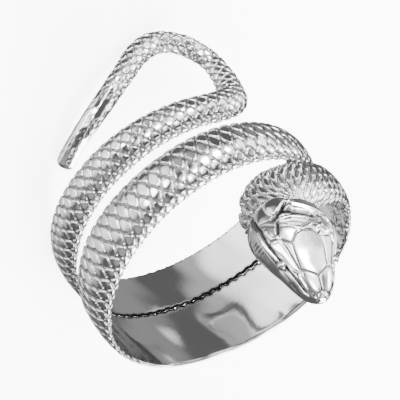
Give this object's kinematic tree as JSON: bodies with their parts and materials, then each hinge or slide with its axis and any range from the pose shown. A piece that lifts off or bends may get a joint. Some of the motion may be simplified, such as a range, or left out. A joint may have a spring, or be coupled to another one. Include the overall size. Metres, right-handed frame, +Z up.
{
  "type": "snake ring",
  "caption": "Finger ring cast as a scaled snake that winds twice round the finger, with its head laid over the front and its thin tail looped back at the rear",
  "frame": {"origin": "on the ground under the middle of the outline", "axes": "+Z up, with the ring lying on its side as it comes to rest by itself; the viewer stands toward -Y and sees into the ring; the finger's axis leans 28 degrees from +Z and is the axis of mount finger_hole"},
  "size_m": [0.0237, 0.0234, 0.0238],
  "materials": {
    "silver": "polished"
  },
  "bodies": {
    "root": {"snake_ring": "silver"}
  },
  "joints": []
}
